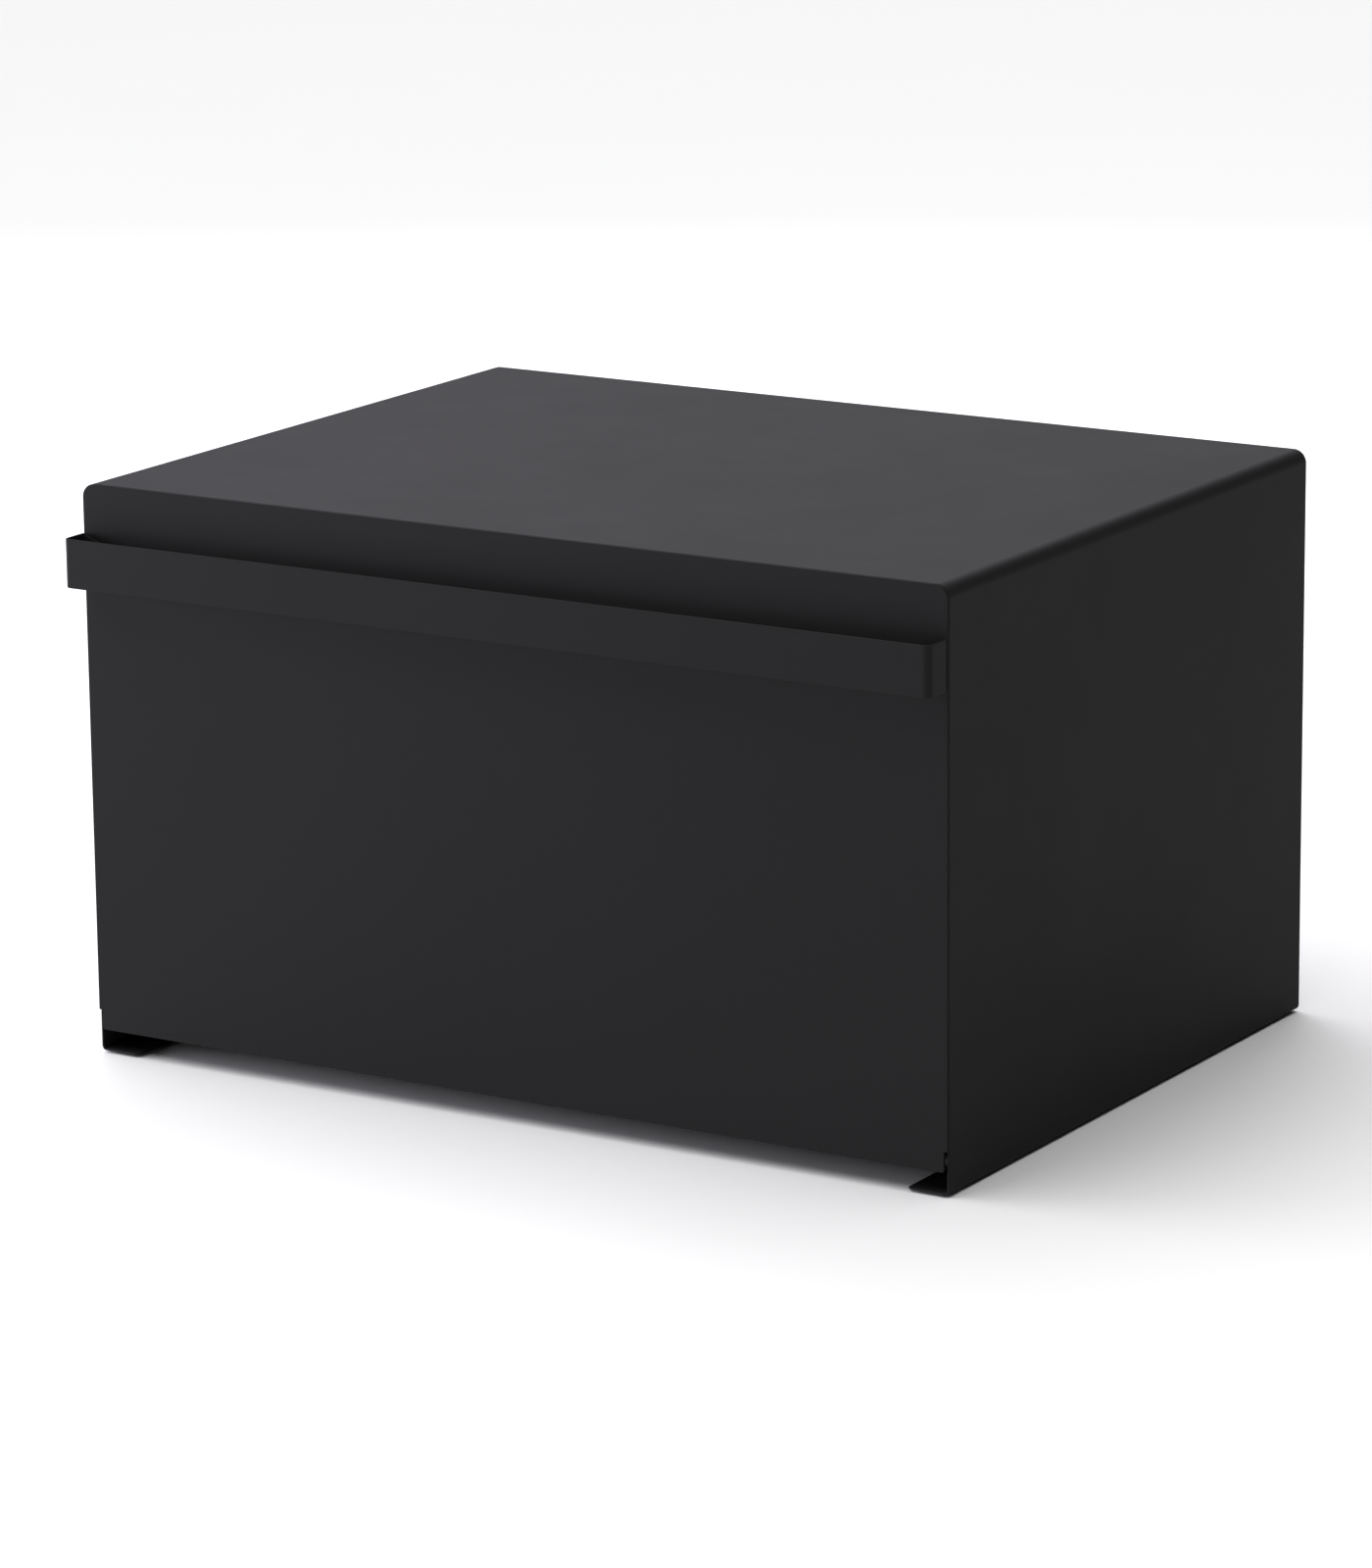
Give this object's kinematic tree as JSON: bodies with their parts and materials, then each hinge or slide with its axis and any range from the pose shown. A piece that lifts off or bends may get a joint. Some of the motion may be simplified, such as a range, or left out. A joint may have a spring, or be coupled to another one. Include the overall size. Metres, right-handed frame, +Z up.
{
  "type": "drop-front storage bin",
  "caption": "Low folded-steel storage bin with a flat drop-down front door, a full-width strip handle, a raised floor and inward foot flanges.",
  "frame": {"origin": "centre of the whole object's footprint, on the surface that the foot pads stand on, with the door shut", "axes": "+X to the right seen from the front, along the width; +Y from the door towards the back; +Z up"},
  "size_m": [0.43, 0.337, 0.257],
  "materials": {
    "powder_coat_black": "matte fine-texture powder coat",
    "zinc_steel": "satin zinc plating",
    "nylon": "natural nylon",
    "black_plastic": "moulded matte",
    "ferrite": "sintered, dull",
    "rubber": "matte"
  },
  "bodies": {
    "case": {"shell": "powder_coat_black", "back_panel": "powder_coat_black", "floor_panel": "powder_coat_black", "pivot_stud_left": "zinc_steel", "pivot_washer_left": "nylon", "push_nut_left": "zinc_steel", "catch_bracket_left": "powder_coat_black", "magnet_case_left": "black_plastic", "magnet_left": "ferrite", "catch_rivets_left": "zinc_steel", "foot_pad_front_left": "rubber", "foot_pad_rear_left": "rubber", "pivot_stud_right": "zinc_steel", "pivot_washer_right": "nylon", "push_nut_right": "zinc_steel", "catch_bracket_right": "powder_coat_black", "magnet_case_right": "black_plastic", "magnet_right": "ferrite", "catch_rivets_right": "zinc_steel", "foot_pad_front_right": "rubber", "foot_pad_rear_right": "rubber"},
    "door": {"door_skin": "powder_coat_black", "door_liner": "powder_coat_black", "door_handle": "powder_coat_black"}
  },
  "joints": [
    {"name": "door_hinge", "type": "hinge", "parent": "case", "child": "door", "pos_m": [0, -0.149, 0.016], "axis": [1, 0, 0], "range_deg": [0, 88.9]}
  ]
}
